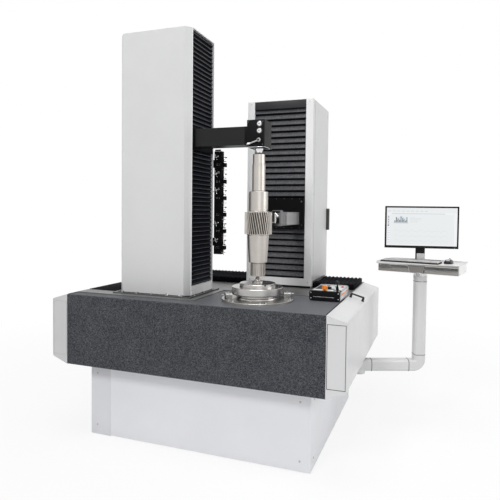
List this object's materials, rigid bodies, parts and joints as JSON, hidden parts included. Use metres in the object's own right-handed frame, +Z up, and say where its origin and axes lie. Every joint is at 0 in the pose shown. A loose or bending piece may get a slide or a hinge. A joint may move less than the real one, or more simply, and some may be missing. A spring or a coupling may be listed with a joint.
{
  "type": "gear measuring machine",
  "caption": "Gear measuring machine: granite bed, rotary table with a shaft between centres, tailstock column, travelling probe column, swing-arm console.",
  "frame": {"origin": "on the floor at the centre of the four floor anchors under the pedestal", "axes": "+X to the right along the bed's front, +Y to the back, +Z up"},
  "size_m": [2.8578, 1.5, 2.921],
  "materials": {
    "frame_paint": "matt",
    "feet_zinc": "satin",
    "panel_paint": "fine texture",
    "granite": "honed and lapped",
    "plate_metal": "satin",
    "cover_paint": "semi gloss",
    "handle_chrome": "polished",
    "rail_steel": "ground",
    "bellows_rubber": "matt",
    "ring_steel": "turned",
    "screw_steel": "zinc plated",
    "clamp_steel": "milled",
    "casing_paint": "semi gloss",
    "magnet_steel": "nickel plated",
    "black_paint": "satin",
    "stylus_steel": "fine turned",
    "console_paint": "satin",
    "pendant_plastic": "fine texture",
    "centre_steel": "ground",
    "table_steel": "turned",
    "gear_steel": "ground and turned",
    "ram_ceramic": "satin",
    "probe_ceramic": "polished",
    "tray_paint": "satin",
    "screen_plastic": "satin",
    "key_plastic": "matt",
    "stop_plastic": "gloss",
    "knob_plastic": "gloss",
    "green_plastic": "gloss",
    "red_plastic": "gloss"
  },
  "bodies": {
    "machine_bed": {"base_frame": "frame_paint", "levelling_feet": "feet_zinc", "pedestal_front_panel": "panel_paint", "pedestal_side_panels": "panel_paint", "granite_bed": "granite", "table_plate": "plate_metal", "left_side_cover": "cover_paint", "right_side_cover": "cover_paint", "cover_end_doors": "cover_paint", "cover_handle": "handle_chrome", "guide_rails": "rail_steel", "x_bellows_left": "bellows_rubber", "x_bellows_right": "bellows_rubber", "rotary_housing": "ring_steel", "socket_screws": "screw_steel", "table_clamps": "clamp_steel", "tailstock_base": "plate_metal", "tailstock_housing": "casing_paint", "tailstock_beam": "frame_paint", "tailstock_motor_track": "magnet_steel", "tailstock_upper_bellows": "bellows_rubber", "tailstock_lower_bellows": "bellows_rubber", "stylus_rack": "black_paint", "rack_styli": "stylus_steel", "arm_bracket": "console_paint", "pendant_case": "pendant_plastic"},
    "tailstock_slide": {"tailstock_carriage": "black_paint", "tailstock_arm": "black_paint", "tailstock_head": "black_paint"},
    "up_button": {"up_button": "handle_chrome"},
    "down_button": {"down_button": "handle_chrome"},
    "clamp_lever": {"clamp_lever": "handle_chrome"},
    "quill": {"tailstock_quill": "handle_chrome", "tailstock_centre": "centre_steel"},
    "rotary_table": {"rotary_table": "table_steel", "faceplate": "ring_steel", "lower_centre": "centre_steel", "gear_shaft": "gear_steel"},
    "measuring_column": {"column_saddle": "frame_paint", "column_housing": "casing_paint", "column_beam": "black_paint", "column_motor_track": "magnet_steel", "column_upper_bellows": "bellows_rubber", "column_lower_bellows": "bellows_rubber"},
    "probe_slide": {"probe_slide": "black_paint"},
    "measuring_ram": {"measuring_ram": "ram_ceramic", "probe_head": "handle_chrome", "probe_stylus": "probe_ceramic"},
    "console_arm": {"arm_tube": "console_paint", "arm_post": "console_paint"},
    "console_tray": {"console_tray": "tray_paint", "monitor_stand": "screen_plastic", "keyboard": "key_plastic", "mouse": "key_plastic"},
    "monitor": {"monitor": "screen_plastic"},
    "e_stop_button": {"e_stop_button": "stop_plastic"},
    "joystick_gimbal": {"joystick_gimbal": "rail_steel"},
    "joystick": {"joystick": "knob_plastic"},
    "start_button": {"start_button": "green_plastic"},
    "stop_button": {"stop_button": "red_plastic"}
  },
  "joints": [
    {"name": "table_spin", "type": "hinge", "parent": "machine_bed", "child": "rotary_table", "pos_m": [0.392, -0.48, 1.061], "axis": [0, 0, 1], "continuous": true},
    {"name": "tailstock_lift", "type": "slide", "parent": "machine_bed", "child": "tailstock_slide", "axis": [0, 0, 1], "range_m": [0, 0.4], "deforming": ["tailstock_lower_bellows", "tailstock_upper_bellows"]},
    {"name": "clamp_lever_turn", "type": "hinge", "parent": "tailstock_slide", "child": "clamp_lever", "pos_m": [0.421, -0.553, 2.131], "axis": [0, 1, 0], "range_deg": [0, 75]},
    {"name": "quill_travel", "type": "slide", "parent": "tailstock_slide", "child": "quill", "axis": [0, 0, 1], "range_m": [0, 0.012], "stiffness_N_per_m": 4000},
    {"name": "up_button_press", "type": "slide", "parent": "tailstock_slide", "child": "up_button", "axis": [0, 1, 0], "range_m": [0, 0.003], "stiffness_N_per_m": 400},
    {"name": "down_button_press", "type": "slide", "parent": "tailstock_slide", "child": "down_button", "axis": [0, 1, 0], "range_m": [0, 0.003], "stiffness_N_per_m": 400},
    {"name": "column_travel", "type": "slide", "parent": "machine_bed", "child": "measuring_column", "axis": [1, 0, 0], "range_m": [0, 0.21], "deforming": ["x_bellows_left", "x_bellows_right"]},
    {"name": "probe_lift", "type": "slide", "parent": "measuring_column", "child": "probe_slide", "axis": [0, 0, 1], "range_m": [-0.25, 0.45], "deforming": ["column_lower_bellows", "column_upper_bellows"]},
    {"name": "ram_travel", "type": "slide", "parent": "probe_slide", "child": "measuring_ram", "axis": [0, 1, 0], "range_m": [0, 0.25]},
    {"name": "arm_swing", "type": "hinge", "parent": "machine_bed", "child": "console_arm", "pos_m": [1.01, 0.092, 0.48], "axis": [0, 0, 1], "range_deg": [-85, 35]},
    {"name": "tray_swivel", "type": "hinge", "parent": "console_arm", "child": "console_tray", "pos_m": [1.43706, 0.26022, 1.195], "axis": [0, 0, 1], "range_deg": [-80, 80]},
    {"name": "monitor_tilt", "type": "hinge", "parent": "console_tray", "child": "monitor", "pos_m": [1.43064, 0.29666, 1.54464], "axis": [-0.9848, -0.1736, 0], "range_deg": [-5, 20]},
    {"name": "e_stop_press", "type": "slide", "parent": "machine_bed", "child": "e_stop_button", "axis": [0, 0, -1], "range_m": [0, 0.005]},
    {"name": "joystick_tilt_x", "type": "hinge", "parent": "machine_bed", "child": "joystick_gimbal", "pos_m": [0.9155, -0.315, 1.103], "axis": [1, 0, 0], "range_deg": [-12, 12], "stiffness_Nm_per_rad": 0.6},
    {"name": "joystick_tilt_y", "type": "hinge", "parent": "joystick_gimbal", "child": "joystick", "pos_m": [0.9155, -0.315, 1.103], "axis": [0, 1, 0], "range_deg": [-12, 12], "stiffness_Nm_per_rad": 0.6},
    {"name": "start_press", "type": "slide", "parent": "machine_bed", "child": "start_button", "axis": [0, 0, -1], "range_m": [0, 0.002], "stiffness_N_per_m": 300},
    {"name": "stop_press", "type": "slide", "parent": "machine_bed", "child": "stop_button", "axis": [0, 0, -1], "range_m": [0, 0.002], "stiffness_N_per_m": 300}
  ]
}
